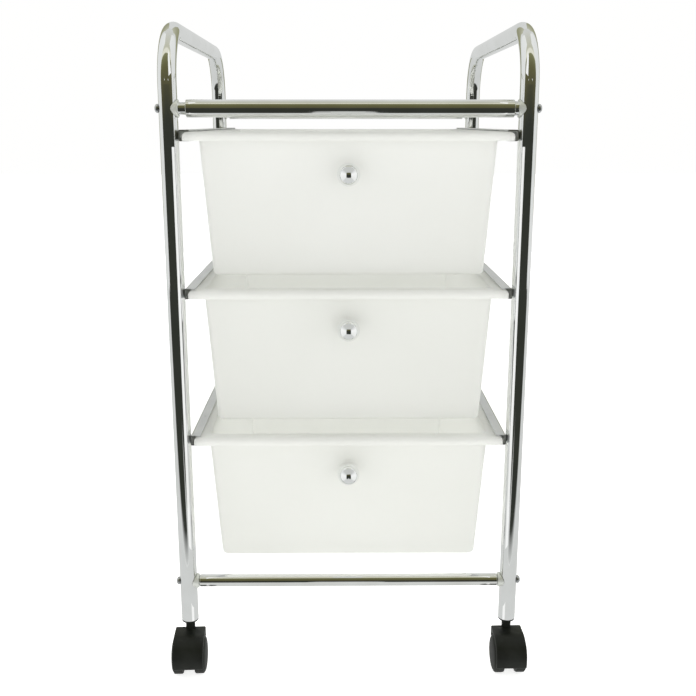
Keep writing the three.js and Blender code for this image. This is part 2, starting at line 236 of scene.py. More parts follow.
def black_plastic(name, dark, pale, roughness, dust):
    """Moulded black plastic with a fine texture and a little dust."""
    paint = Paint(name, IOR=1.5, Specular_IOR_Level=0.22)
    clouds = paint.noise(60.0, 4.0)
    grain = paint.noise(2600.0, 2.0)
    tint = paint.colours(clouds, [(0.35, dark), (dust, pale)])
    paint.link(tint, paint.shader.inputs["Base Color"])
    paint.link(paint.ranged(clouds, 0.3, 0.7, *roughness), paint.shader.inputs["Roughness"])
    paint.bump(grain, 0.2, 0.00008)
    return paint.material


ALONG_Z = (1.0, 1.0, 0.04)
ALONG_X = (0.04, 1.0, 1.0)
ALONG_Y = (1.0, 0.04, 1.0)

CHROME = plated("chromed_tube", (0.90, 0.91, 0.91), (0.84, 0.85, 0.84), (0.035, 0.07, 0.06), 0.08, ALONG_Z)
CHROME_BAR = plated("chromed_bar", (0.90, 0.91, 0.90), (0.83, 0.83, 0.81), (0.04, 0.08, 0.06), 0.08, ALONG_X)
CHROME_KNOB = plated("chromed_knob", (0.92, 0.93, 0.93), (0.88, 0.89, 0.89), (0.02, 0.05, 0.03), 0.04)
FITTING = plated(
    "plated_fitting", (0.88, 0.90, 0.85), (0.77, 0.79, 0.74), (0.38, 0.48, 0.08), 0.3, metallic=0.6
)
RAIL = plated("plated_rail", (0.74, 0.75, 0.75), (0.65, 0.66, 0.66), (0.28, 0.38, 0.10), 0.25, ALONG_Y)
STEEL = plated("steel_fastener", (0.60, 0.61, 0.62), (0.48, 0.49, 0.50), (0.24, 0.34, 0.10), 0.3)
MILKY = milky_plastic()
BLACK = black_plastic("black_plastic", (0.0085, 0.0100, 0.0075), (0.019, 0.021, 0.017), (0.36, 0.48), 0.8)
TREAD = black_plastic("caster_tread", (0.0090, 0.0105, 0.0080), (0.024, 0.026, 0.021), (0.45, 0.60), 0.75)

# ---------------------------------------------------------------- mesh helpers


def made_mesh(name, points, faces, sharp_degrees=35.0):
    """A closed mesh from points in millimetres, with outward normals and smooth rounded parts."""
    mesh = bpy.data.meshes.new(name)
    mesh.from_pydata([Vector(p) * MM for p in points], [], faces)
    work = bmesh.new()
    work.from_mesh(mesh)
    loose = [vertex for vertex in work.verts if not vertex.link_faces]
    bmesh.ops.delete(work, geom=loose, context="VERTS")
    bmesh.ops.recalc_face_normals(work, faces=work.faces)
    work.to_mesh(mesh)
    work.free()
    smooth(mesh, sharp_degrees)
    return mesh


def smooth(mesh, sharp_degrees=35.0):
    mesh.polygons.foreach_set("use_smooth", [True] * len(mesh.polygons))
    mesh.set_sharp_from_angle(angle=math.radians(sharp_degrees))
    mesh.update()


def show(name, mesh, material, stands_for, matrix=None):
    """Puts a mesh in the scene in place of CAD nodes, on the body of the first of them."""
    obj = bpy.data.objects.new(name, mesh)
    bpy.context.scene.collection.objects.link(obj)
    if matrix is not None:
        obj.matrix_world = matrix
    if not mesh.materials:
        mesh.materials.append(material)
    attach(obj, BODY_OF[stands_for[0]])
    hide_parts(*stands_for)
    return obj


def placed(x, y, z, turn=0.0):
    """A matrix that turns about Z by degrees and then moves to a place in millimetres."""
    return Matrix.Translation(Vector((x, y, z)) * MM) @ Matrix.Rotation(math.radians(turn), 4, "Z")


def lathe(profile, segments, closed=False, axis="Z"):
    """Points and faces of a revolved list of (radius, height); radius 0 makes a pole."""
    points, rings, faces = [], [], []
    for radius, height in profile:
        count = 1 if radius == 0 else segments
        ring = []
        for k in range(count):
            angle = 2 * math.pi * k / segments
            across, up = radius * math.cos(angle), radius * math.sin(angle)
            ring.append(len(points))
            points.append((across, up, height) if axis == "Z" else (height, across, up))
        rings.append(ring)
    pairs = list(zip(rings, rings[1:]))
    if closed:
        pairs.append((rings[-1], rings[0]))
    for low, high in pairs:
        for k in range(segments):
            n = (k + 1) % segments
            if len(low) == 1 and len(high) == 1:
                continue
            if len(low) == 1:
                faces.append((low[0], high[n], high[k]))
            elif len(high) == 1:
                faces.append((low[k], low[n], high[0]))
            else:
                faces.append((low[k], low[n], high[n], high[k]))
    return points, faces


def arc(cx, cy, radius, start, end, steps):
    """Points on an arc between two angles in degrees."""
    angles = [math.radians(start + (end - start) * i / steps) for i in range(steps + 1)]
    return [(cx + radius * math.cos(a), cy + radius * math.sin(a)) for a in angles]


def applied(obj):
    """Replaces an object's mesh by the result of its modifiers."""
    graph = bpy.context.evaluated_depsgraph_get()
    mesh = bpy.data.meshes.new_from_object(obj.evaluated_get(graph), depsgraph=graph)
    obj.modifiers.clear()
    return mesh


def merged(mesh):
    """Merges points that a boolean left closer than MERGE, and drops faces without area."""
    work = bmesh.new()
    work.from_mesh(mesh)
    bmesh.ops.remove_doubles(work, verts=work.verts, dist=MERGE * MM)
    bmesh.ops.dissolve_degenerate(work, edges=work.edges, dist=MERGE * MM)
    work.to_mesh(mesh)
    work.free()


def combined(base, cutters, operation):
    """Mesh of a boolean of meshes, worked on scratch objects that are removed again."""
    main = bpy.data.objects.new("scratch_main", base)
    bpy.context.scene.collection.objects.link(main)
    others = []
    for cutter in cutters:
        other = bpy.data.objects.new("scratch_cutter", cutter)
        bpy.context.scene.collection.objects.link(other)
        modifier = main.modifiers.new("cut", "BOOLEAN")
        modifier.operation = operation
        modifier.solver = "EXACT"
        modifier.object = other
        others.append(other)
    result = applied(main)
    for obj in (main, *others):
        bpy.data.objects.remove(obj)
    merged(result)
    return result


# ---------------------------------------------------------------- side frames


def tube_path(front_y, rear_y, top_z, end_z):
    """Stations (y, z, turn) along the bent tube, up the front leg and down the rear one."""
    stations = [(front_y, end_z, 0.0), (front_y, end_z + 30.0, 0.0)]
    for centre_y, start in ((front_y + BEND_R, 0.0), (rear_y - BEND_R, math.pi / 2)):
        for i in range(BEND_STEPS + 1):
            turn = start + i / BEND_STEPS * math.pi / 2
            y = centre_y - BEND_R * math.cos(turn)
            z = top_z - BEND_R + BEND_R * math.sin(turn)
            stations.append((y, z, turn))
    stations += [(rear_y, end_z + 30.0, math.pi), (rear_y, end_z, math.pi)]
    return stations


def side_tube(stations):
    """Hollow tube with slightly rounded cut ends."""
    inner_r = TUBE_R - TUBE_WALL
    first, last = stations[0], stations[-1]

    def lifted(station, by):
        return (station[0], station[1] + by, station[2])

    loops = [(first, TUBE_R - 0.35), (lifted(first, 0.35), TUBE_R)]
    loops += [(s, TUBE_R) for s in stations[1:-1]]
    loops += [(lifted(last, 0.35), TUBE_R), (last, TUBE_R - 0.35), (last, inner_r)]
    loops += [(s, inner_r) for s in reversed(stations[1:-1])]
    loops.append((first, inner_r))
    points, faces = [], []
    for (y, z, turn), radius in loops:
        for k in range(TUBE_SIDES):
            around = 2 * math.pi * k / TUBE_SIDES
            across = radius * math.sin(around)
            place = (y - across * math.cos(turn), z + across * math.sin(turn))
            points.append((radius * math.cos(around), *place))
    for loop in range(len(loops)):
        for k in range(TUBE_SIDES):
            n = (k + 1) % TUBE_SIDES
            a = loop * TUBE_SIDES
            b = (loop + 1) % len(loops) * TUBE_SIDES
            faces.append((a + k, a + n, b + n, b + k))
    return points, faces


def build_side_frames():
    for side in ("left", "right"):
        node = f"side_frame_{side}"
        low, high = node_box(node)
        path = tube_path(low.y + TUBE_R, high.y - TUBE_R, high.z - TUBE_R, low.z)
        mesh = made_mesh(f"side_tube_{side}", *side_tube(path))
        show(f"side_tube_{side}", mesh, CHROME, [node], placed((low.x + high.x) / 2, 0, 0))


# ---------------------------------------------------------------- cross bars


def bar_tube(radius, left, right):
    inner = radius - BAR_WALL
    edge = 0.4
    profile = [
        (radius - edge, left), (radius, left + edge), (radius, right - edge),
        (radius - edge, right), (inner, right), (inner, left),
    ]
    return lathe(profile, TUBE_SIDES, closed=True, axis="X")


def bar_end(disc_r, face, neck_r, neck_end, spigot_r, end):
    """Fitting from the leg axis along +X: a disc hollowed to cup the leg, a neck and a spigot."""
    segments = 48
    cup_r = TUBE_R + GAP
    points, faces, rings = [(cup_r, 0.0, 0.0)], [], []

    def ring(radius, reach):
        made = []
        for k in range(segments):
            angle = 2 * math.pi * k / segments
            y, z = radius * math.cos(angle), radius * math.sin(angle)
            made.append(len(points))
            points.append((math.sqrt(cup_r**2 - y**2) if reach is None else reach, y, z))
        rings.append(made)

    for share in (0.25, 0.5, 0.75, 1.0):
        ring(share * disc_r, None)
    ring(disc_r, face - 0.8)
    ring(disc_r - 0.25, face - 0.25)
    ring(disc_r - 0.8, face)
    ring(neck_r + 0.3, face)
    ring(neck_r, face + 0.3)
    ring(neck_r, neck_end - 0.2)
    ring(neck_r - 0.2, neck_end)
    ring(spigot_r, neck_end)
    ring(spigot_r, end - 1.0)
    ring(spigot_r - 1.0, end)
    for k in range(segments):
        n = (k + 1) % segments
        faces.append((0, rings[0][n], rings[0][k]))
        for low, high in zip(rings, rings[1:]):
            faces.append((low[k], low[n], high[n], high[k]))
    faces.append(tuple(rings[-1]))
    return points, faces


def cross_recess():
    """Cutter for the cross in a screw head, at the head's own height."""
    bars = []
    for half_x, half_y in ((2.1, 0.45), (0.45, 2.1)):
        top = ((-1, -1), (1, -1), (1, 1), (-1, 1))
        points = [(half_x * x, half_y * y, 6.0) for x, y in top]
        points += [(0.45 * half_x * x, half_y * 0.7 * y, 0.5) for x, y in top]
        faces = [(0, 1, 2, 3), (7, 6, 5, 4)] + [(i, i + 4, (i + 1) % 4 + 4, (i + 1) % 4) for i in range(4)]
        bars.append(made_mesh("cross", points, faces))
    return bars


def screw_mesh(head_r, head_h, shank_len):
    """Pan-head screw along +Z with the underside of its head at height 0."""
    dome = arc(0.0, 0.0, 1.0, 8.0, 90.0, 8)
    profile = [(0, -shank_len), (SHANK_R - 0.6, -shank_len), (SHANK_R, -shank_len + 1.0), (SHANK_R, 0)]
    profile += [(head_r - 0.2, 0), (head_r, 0.2)]
    profile += [(head_r * x, 0.6 + (head_h - 0.6) * y) for x, y in dome[:-1]]
    profile.append((0, head_h))
    mesh = made_mesh("screw", *lathe(profile, 40))
    mesh = combined(mesh, cross_recess(), "DIFFERENCE")
    smooth(mesh, 30.0)
    return mesh


def build_bars():
    screw = None
    turns = iter((12.0, 55.0, 33.0, 78.0, 5.0, 64.0, 40.0, 22.0))
    for bar in ("top_bar_front", "top_bar_rear", "low_bar_front", "low_bar_rear"):
        low, high = node_box(bar)
        radius = (high.z - low.z) / 2
        y, z = (low.y + high.y) / 2, (low.z + high.z) / 2
        mesh = made_mesh(f"{bar}_tube", *bar_tube(radius, low.x, high.x))
        show(f"{bar}_tube", mesh, CHROME_BAR, [bar], placed(0, y, z))
        for side, sign in (("left", -1.0), ("right", 1.0)):
            leg_low, leg_high = node_box(f"side_frame_{side}")
            leg_x = (leg_low.x + leg_high.x) / 2
            end = f"{bar}_end_{side}"
            end_low, end_high = node_box(end)
            disc_r = (end_high.z - end_low.z) / 2
            tube_end = high.x if sign > 0 else low.x
            neck_end = abs(leg_x - tube_end) - GAP
            tip = neck_end + SPIGOT_LEN
            spigot_r = radius - BAR_WALL - GAP
            face = TOP_FACE if bar.startswith("top") else LOW_FACE
            long_neck = neck_end - face > 5.0
            neck_r = spigot_r if neck_end - face < 1.0 else (NECK_MIN_R if long_neck else NECK_MAX_R)
            mesh = made_mesh(f"{end}_fitting", *bar_end(disc_r, face, neck_r, neck_end, spigot_r, tip))
            mesh.materials.append(FITTING)
            mesh.materials.append(CHROME_KNOB)
            # The disc against the leg is satin, and the neck beyond it bright.
            for polygon in mesh.polygons:
                polygon.material_index = int(polygon.center.x > (face + 0.1) * MM)
            turn = 180.0 if sign > 0 else 0.0
            show(f"{end}_fitting", mesh, FITTING, [end], placed(leg_x, y, z, turn))
            node = f"{bar}_screw_{side}"
            screw_low, screw_high = node_box(node)
            if screw is None:
                head_r = (screw_high.z - screw_low.z) / 2
                seat = TUBE_R + GAP
                outer = abs((screw_high.x if sign > 0 else screw_low.x) - leg_x)
                screw = screw_mesh(head_r, outer - seat, screw_high.x - screw_low.x - (outer - seat))
            out = Matrix.Rotation(math.radians(90.0 * sign), 4, "Y")
            spin = Matrix.Rotation(math.radians(next(turns)), 4, "Z")
            at = placed(leg_x + sign * (TUBE_R + GAP), y, z)
            show(f"{node}_head", screw, STEEL, [node], at @ out @ spin)


# ---------------------------------------------------------------- rails


def rail_section(depth, height):
    """Outer and inner paths of the channel, from the top lip round the web to the bottom lip.

    X runs from 0 at the web to -depth at the lips, Z from 0 at the top to -height.
    """
    inner_bend = RAIL_BEND_R - RAIL_T
    steps = 6
    flange = [-depth + 0.15 + i * (depth - RAIL_BEND_R - 0.15) / 16 for i in range(17)]
    outer = [(x, 0.0) for x in flange]
    outer += arc(-RAIL_BEND_R, -RAIL_BEND_R, RAIL_BEND_R, 90, 0, steps)[1:]
    outer += arc(-RAIL_BEND_R, -height + RAIL_BEND_R, RAIL_BEND_R, 0, -90, steps)
    outer += [(x, -height) for x in reversed(flange[:-1])]
    inner = [(x, -RAIL_T) for x in flange]
    inner += arc(-RAIL_BEND_R, -RAIL_BEND_R, inner_bend, 90, 0, steps)[1:]
    inner += arc(-RAIL_BEND_R, -height + RAIL_BEND_R, inner_bend, 0, -90, steps)
    inner += [(x, -height + RAIL_T) for x in reversed(flange[:-1])]
    return outer, inner


def rail_mesh(name, depth, height, front, rear, dimples):
    """Channel along +Y with pressed dimples in its top flange and a tab across its rear end."""
    outer, inner = rail_section(depth, height)
    stations = {front, front + 0.3, rear - RAIL_T, rear}
    for dimple in dimples:
        stations.update(dimple + DIMPLE_R * (i / 6 - 1) * 1.1 for i in range(13))
    stations = sorted(stations)
    ring = outer + list(reversed(inner))
    total, turn_back = len(ring), len(outer)
    points, faces = [], []
    for y in stations:
        for x, z in ring:
            near = min(math.hypot(x + depth * 0.5, y - d) for d in dimples)
            flat = z > -RAIL_T - 0.01 and -depth + 0.2 < x < -RAIL_BEND_R
            dip = 0.0
            if flat and near < DIMPLE_R:
                dip = DIMPLE_DEPTH * 0.5 * (1 + math.cos(math.pi * near / DIMPLE_R))
            points.append((x, y, z - dip))
    for s in range(len(stations) - 1):
        a, b = s * total, (s + 1) * total
        closing = s == len(stations) - 2
        for k in range(total):
            n = (k + 1) % total
            if closing and turn_back <= k < total - 1:
                continue
            faces.append((a + k, a + n, b + n, b + k))
        if closing:
            faces.append((a + total - 1, a + turn_back, b + turn_back, b + total - 1))
            faces.append(tuple(a + k for k in range(turn_back, total)))
    faces.append(tuple(range(turn_back)) + tuple(range(turn_back, total)))
    last = (len(stations) - 1) * total
    faces.append(tuple(last + k for k in (*range(turn_back), turn_back, total - 1)))
    return made_mesh(name, points, faces, 40.0)


def build_rails():
    for level in ("upper", "middle", "lower"):
        for side, sign in (("left", -1.0), ("right", 1.0)):
            node = f"rail_{level}_{side}"
            low, high = node_box(node)
            front, rear = low.y, high.y
            dimples = [front + DIMPLE_FROM_END, (front + rear) / 2, rear - DIMPLE_FROM_END]
            mesh = rail_mesh(f"{node}_channel", high.x - low.x, high.z - low.z, front, rear, dimples)
            if sign < 0:
                for vertex in mesh.vertices:
                    vertex.co.x = -vertex.co.x
                mesh.flip_normals()
            web = high.x if sign > 0 else low.x
            show(f"{node}_channel", mesh, RAIL, [node], placed(web, 0, high.z))


# ---------------------------------------------------------------- drawers


def outline(half_x, half_y, middle_y, inset, radius, steps=8):
    points = []
    for corner in range(4):
        cx = (half_x - inset - radius) * (1 if corner in (0, 3) else -1)
        cy = (half_y - inset - radius) * (1 if corner < 2 else -1)
        for i in range(steps + 1):
            angle = (corner + i / steps) * math.pi / 2
            points.append((cx + radius * math.cos(angle), middle_y + cy + radius * math.sin(angle)))
    return points


def wall_inset(depth):
    return WALL_INSET + TAPER * (depth - RIM_T)


def drawer_rings(height):
    """Rings (inset, depth, corner radius) from the middle of the underside to the inner floor."""
    corner = WALL_CORNER_R
    inner = corner - WALL_T
    foot = wall_inset(height)
    rings = [(foot + 9.0, height - 0.8, corner - 3.0), (foot + 6.0, height - 0.8, corner - 2.6)]
    rings += [(foot + 5.2, height - 0.1, corner - 2.5), (foot + 4.8, height, corner - 2.4)]
    for across, down in arc(0.0, 0.0, 3.6, -90, -180, 6)[1:]:
        at = height - 3.6 - down
        rings.append((wall_inset(at) + 3.6 + across, at, corner))
    rings.append((wall_inset(RIM_T + 1.2), RIM_T + 1.2, corner))
    rings.append((wall_inset(RIM_T) - 0.35, RIM_T + 0.35, corner))
    rings.append((wall_inset(RIM_T) - 1.2, RIM_T, corner))
    rings += [(SKIRT_T + 2.2, RIM_T, 3.0), (SKIRT_T + 0.7, RIM_T + 0.6, 2.2), (SKIRT_T, RIM_T + 2.2, 1.5)]
    rings += [(SKIRT_T, SKIRT_H - 0.3, 1.5), (SKIRT_T - 0.3, SKIRT_H, 1.8), (0.3, SKIRT_H, 2.7)]
    rings.append((0.0, SKIRT_H - 0.3, 3.0))
    for i in range(9):
        angle = i * math.pi / 16
        inset, depth = RIM_EDGE_R * (1 - math.cos(angle)), RIM_EDGE_R * (1 - math.sin(angle))
        rings.append((inset, depth, 3.0))
    lip = WALL_INSET + WALL_T
    rings += [(lip - 1.6, 0.0, inner + 1.6), (lip - 0.5, 0.45, inner + 0.5), (lip, 1.6, inner)]
    floor = height - WALL_T
    for across, down in arc(0.0, 0.0, 4.0, -180, -90, 6):
        at = floor - 4.0 - down
        rings.append((wall_inset(floor - 4.0) + WALL_T + 4.0 + across, at, inner))
    return rings


def drawer_mesh(name, half_x, front, rear, height):
    middle, half_y = (front + rear) / 2, (rear - front) / 2
    points, faces = [], []
    rings = drawer_rings(height)
    count = 0
    for inset, depth, radius in rings:
        ring = outline(half_x, half_y, middle, inset, max(radius, 0.6))
        count = len(ring)
        hem = inset < SKIRT_T + 0.1 and depth > RIM_T + 2.5
        for x, y in ring:
            toward_front = min(max((front + 3.0 - y) / 1.5, 0.0), 1.0)
            points.append((x, y, -depth - hem * toward_front * (APRON_H - SKIRT_H)))
    for r in range(len(rings) - 1):
        for k in range(count):
            n = (k + 1) % count
            a = r * count
            faces.append((a + k, a + n, a + count + n, a + count + k))
    faces.append(tuple(range(count)))
    faces.append(tuple((len(rings) - 1) * count + k for k in range(count)))
    return made_mesh(name, points, faces, 50.0)


def knob_mesh():
    """Ball knob along +Z from the wall's outer face, with its neck and the screw inside."""
    inside = -WALL_T - GAP
    start = math.degrees(math.asin(3.9 / KNOB_R))
    profile = [(0, inside - 2.6), (2.4, inside - 2.3), (3.4, inside - 1.1), (3.6, inside)]
    profile += [(2.0, inside), (2.0, GAP)]
    profile += [(4.5, GAP), (4.7, GAP + 0.2), (4.7, 1.0), (4.5, 1.2), (4.0, 1.6), (3.8, 2.6)]
    for i in range(1, 28):
        angle = math.radians(start + (180.0 - start) * i / 28)
        profile.append((KNOB_R * math.sin(angle), KNOB_REACH - KNOB_R * math.cos(angle)))
    profile.append((0, KNOB_REACH + KNOB_R))
    return made_mesh("ball_knob", *lathe(profile, 48), sharp_degrees=40.0)


def build_drawers():
    knob = knob_mesh()
    for level in ("upper", "middle", "lower"):
        node = f"drawer_{level}"
        low, high = node_box(node)
        mesh = drawer_mesh(f"{node}_tray", (high.x - low.x) / 2, low.y, high.y, high.z - low.z)
        show(f"{node}_tray", mesh, MILKY, [node], placed(0, 0, high.z))
        wall_y = low.y + wall_inset(KNOB_DEPTH)
        face_down = Matrix.Rotation(math.pi / 2 + math.atan(TAPER), 4, "X")
        at = placed(0, wall_y, high.z - KNOB_DEPTH) @ face_down
        show(f"{node}_ball_knob", knob, CHROME_KNOB, [f"{node}_knob"], at)


# ---------------------------------------------------------------- casters


def hood_mesh():
    """Caster hood around the swivel axis: an arc over both wheels, a web, a boss and a neck."""
    profile = [(-26.0, 10.5), (-8.0, 9.0), (-3.0, 13.0), (HOOD_BACK, 27.0), (HOOD_BACK, WHEEL_R + HOOD_R)]
    profile += arc(-TRAIL, WHEEL_R, HOOD_R, 90, 180 + HOOD_DROP, 28)
    count = len(profile)
    points = [(x, y, z) for x in (-HOOD_HALF_X, HOOD_HALF_X) for y, z in profile]
    faces = [tuple(range(count)), tuple(range(2 * count - 1, count - 1, -1))]
    for k in range(count):
        n = (k + 1) % count
        faces.append((k, n, n + count, k + count))
    block = made_mesh("hood", points, faces)
    rounded = bpy.data.objects.new("scratch_hood", block)
    bpy.context.scene.collection.objects.link(rounded)
    bevel = rounded.modifiers.new("round", "BEVEL")
    bevel.width = HOOD_EDGE * MM
    bevel.segments = 3
    bevel.limit_method = "ANGLE"
    bevel.angle_limit = math.radians(40)
    block = applied(rounded)
    bpy.data.objects.remove(rounded)
    wells = []
    web = WHEEL_INNER - GAP
    for start, end in ((-HOOD_HALF_X - 2, -web), (web, HOOD_HALF_X + 2)):
        radius = HOOD_R - HOOD_SHELL
        points, faces = lathe([(0, start), (radius, start), (radius, end), (0, end)], 72, axis="X")
        wells.append(made_mesh("well", [(x, y - TRAIL, z + WHEEL_R) for x, y, z in points], faces))
    body = combined(block, wells, "DIFFERENCE")
    neck = [(0, BOSS_FOOT), (NECK_R - 0.5, BOSS_FOOT), (NECK_R, BOSS_FOOT + 0.5)]
    neck += [(NECK_R, NECK_TOP - 0.5), (NECK_R - 0.5, NECK_TOP), (0, NECK_TOP)]
    body = combined(body, [made_mesh("neck", *lathe(neck, 40))], "UNION")
    bore = STEM_R + GAP
    stem_bore = [(0, STEM_BORE_END), (bore, STEM_BORE_END), (bore, NECK_TOP + 1), (0, NECK_TOP + 1)]
    bore = AXLE_R + GAP
    points, faces = lathe([(0, -web - 1), (bore, -web - 1), (bore, web + 1), (0, web + 1)], 40, axis="X")
    axle_bore = [(x, y - TRAIL, z + WHEEL_R) for x, y, z in points]
    bores = [made_mesh("stem_bore", *lathe(stem_bore, 40)), made_mesh("axle_bore", axle_bore, faces)]
    body = combined(body, bores, "DIFFERENCE")
    smooth(body, 38.0)
    return body


def wheel_mesh():
    """Wheel on the +X side: rounded tread, stepped domed cover, hub against the web."""
    bore = AXLE_R + GAP
    profile = [(0, AXLE_BORE_END), (bore, AXLE_BORE_END), (bore, WHEEL_INNER + 0.2), (7.0, WHEEL_INNER + 0.2)]
    profile += [(7.0, WHEEL_INNER + 2.2), (15.6, WHEEL_INNER + 2.2)]
    profile += [(15.6, WHEEL_INNER), (17.8, WHEEL_INNER)]
    profile += arc(WHEEL_R - 1.1, WHEEL_INNER + 1.2, 1.1, -80, 0, 4)
    profile += [(WHEEL_R, 13.3)]
    profile += arc(WHEEL_R - 1.5, 13.3, 1.5, 15, 70, 4)
    profile += [(17.2, 14.9), (16.9, 14.7), (16.6, 14.9)]
    for i in range(1, 13):
        share = i / 12
        profile.append((16.4 * math.cos(share * math.pi / 2), 15.1 + 2.2 * math.sin(share * math.pi / 2)))
    profile[-1] = (0, 17.3)
    return made_mesh("wheel", *lathe(profile, 72, axis="X"), sharp_degrees=32.0)


def socket_mesh(low, high):
    """Plastic socket inside the leg with its lip below the tube's end."""
    body_r = TUBE_R - TUBE_WALL - GAP
    lip_r = (high.x - low.x) / 2
    bore = STEM_R + GAP
    bottom = low.z
    lip_top = bottom + 1.2
    top = high.z
    profile = [
        (bore, bottom), (lip_r - 0.4, bottom), (lip_r, bottom + 0.4), (lip_r, lip_top),
        (body_r, lip_top), (body_r, top - 3.0), (body_r - 1.0, top), (bore, top),
    ]
    return made_mesh("leg_socket", *lathe(profile, 48, closed=True))


def build_casters():
    hood, wheel = hood_mesh(), wheel_mesh()
    for corner in ("front_left", "front_right", "rear_left", "rear_right"):
        swivel = JOINTS[f"caster_{corner}_swivel"]
        spin = JOINTS[f"caster_{corner}_wheel_right_spin"]
        x, y, _ = (value / MM for value in swivel["pos_m"])
        turn = math.degrees(math.atan2(spin["axis"][1], spin["axis"][0]))
        turned_hood = hood.copy()
        turned_hood.transform(Matrix.Rotation(math.radians(turn), 4, "Z"))
        at = placed(x, y, 0)
        show(f"caster_{corner}_cover", turned_hood, BLACK, [f"caster_{corner}_hood"], at)
        for side, half_turn in (("left", 180.0), ("right", 0.0)):
            node = f"caster_{corner}_wheel_{side}"
            turned_wheel = wheel.copy()
            turned_wheel.transform(Matrix.Rotation(math.radians(turn + half_turn), 4, "Z"))
            axle = placed(x, y, 0, turn) @ Vector((0, -TRAIL * MM, WHEEL_R * MM))
            show(f"{node}_disc", turned_wheel, TREAD, [node], Matrix.Translation(axle))
        node = f"caster_{corner}_socket"
        low, high = node_box(node)
        show(f"{node}_plug", socket_mesh(low, high), BLACK, [node], placed(x, y, 0))


def repaint(materials_by_ending):
    """Gives the CAD nodes that stay in view their finish."""
    for name, obj in frame["nodes"].items():
        for ending, material in materials_by_ending.items():
            if name.endswith(ending):
                obj.data.materials.clear()
                obj.data.materials.append(material)


build_side_frames()
build_bars()
build_rails()
build_drawers()
build_casters()
repaint({"_axle": STEEL, "_stem": STEEL})

# ---------------------------------------------------------------- studio


def plane(name, corners):
    """A backdrop: one sheet of four corners, or an open tent of eight."""
    mesh = bpy.data.meshes.new(name)
    mesh.from_pydata(corners, [], SHEET_FACES if len(corners) == 4 else TENT_FACES)
    obj = bpy.data.objects.new(name, mesh)
    bpy.context.scene.collection.objects.link(obj)
    return obj


def glowing(name, axis, stops):
    """Emission that changes smoothly along one axis of the object, from (metres, colour) stops."""
    material = bpy.data.materials.new(name)
    material.use_nodes = True
    tree = material.node_tree
    tree.nodes.remove(tree.nodes["Principled BSDF"])
    place = tree.nodes.new("ShaderNodeTexCoord")
    split = tree.nodes.new("ShaderNodeSeparateXYZ")
    tree.links.new(place.outputs["Object"], split.inputs["Vector"])
    span = tree.nodes.new("ShaderNodeMapRange")
    first, last = stops[0][0], stops[-1][0]
    span.inputs["From Min"].default_value = first
    span.inputs["From Max"].default_value = last
    tree.links.new(split.outputs[axis], span.inputs["Value"])
    ramp = tree.nodes.new("ShaderNodeValToRGB")
    elements = ramp.color_ramp.elements
    while len(elements) < len(stops):
        elements.new(0.5)
    for element, (at, colour) in zip(elements, stops):
        element.position = (at - first) / (last - first)
        element.color = (*colour, 1.0)
    tree.links.new(span.outputs["Result"], ramp.inputs["Fac"])
    light = tree.nodes.new("ShaderNodeEmission")
    tree.links.new(ramp.outputs["Color"], light.inputs["Color"])
    tree.links.new(light.outputs["Emission"], tree.nodes["Material Output"].inputs["Surface"])
    return material


def floor_material():
    paint = Paint("studio_floor", Roughness=0.9)
    tint = paint.colours(paint.noise(3.0), [(0.3, (0.93, 0.93, 0.925)), (0.7, (0.95, 0.95, 0.945))])
    paint.link(tint, paint.shader.inputs["Base Color"])
    paint.link(tint, paint.shader.inputs["Emission Color"])
    paint.shader.inputs["Emission Strength"].default_value = 0.76
    return paint.material


# Glow colours of the sheets that paint reflections in the plating; only mirrored rays see them.
DARK = (0.034, 0.037, 0.030)
OLIVE = (0.095, 0.090, 0.048)
MOSS = (0.13, 0.125, 0.058)
BROWN = (0.235, 0.238, 0.125)
PALE = (0.54, 0.54, 0.43)
LAMP = (0.78, 0.77, 0.66)
GREY = (0.60, 0.61, 0.59)
PAPER = (0.68, 0.69, 0.68)
SIDE_PAPER = (0.78, 0.79, 0.78)
BRIGHT = (0.86, 0.87, 0.85)
WHITE = (1.0, 1.0, 0.99)

AMBIENT_LOW = 0.99
AMBIENT_HIGH = 0.22
ROOM_X = 12.0
ROOM_Z = 7.2
PAPER_X = 2.5
PAPER_Y = -0.39
BAR_CLEAR = 0.025
FLOOR_CLEAR = 0.004
LEG_REFLECTION_INSET = 0.0140
LEG_REFLECTION_REAR = 0.002
LEG_REFLECTION_FRONT = 0.0165
TENT_X = 0.0160
TENT_UP = 0.0165
TENT_DOWN = 0.0185
TENT_REAR = 0.002
TENT_FRONT = 0.032
SHEET_FACES = ((0, 1, 2, 3),)
TENT_FACES = ((0, 1, 5, 4), (1, 2, 6, 5), (2, 3, 7, 6), (3, 0, 4, 7))


def facing(left, right, y, low, high):
    """Corners of an upright sheet across the view, at one depth."""
    return [(left, y, low), (right, y, low), (right, y, high), (left, y, high)]


def beside(x, first_y, last_y, low, high):
    """Corners of an upright sheet along the view, at one place across it."""
    return [(x, first_y, low), (x, last_y, low), (x, last_y, high), (x, first_y, high)]


def lying(left, right, front, back, z):
    """Corners of a level sheet."""
    return [(left, front, z), (right, front, z), (right, back, z), (left, back, z)]
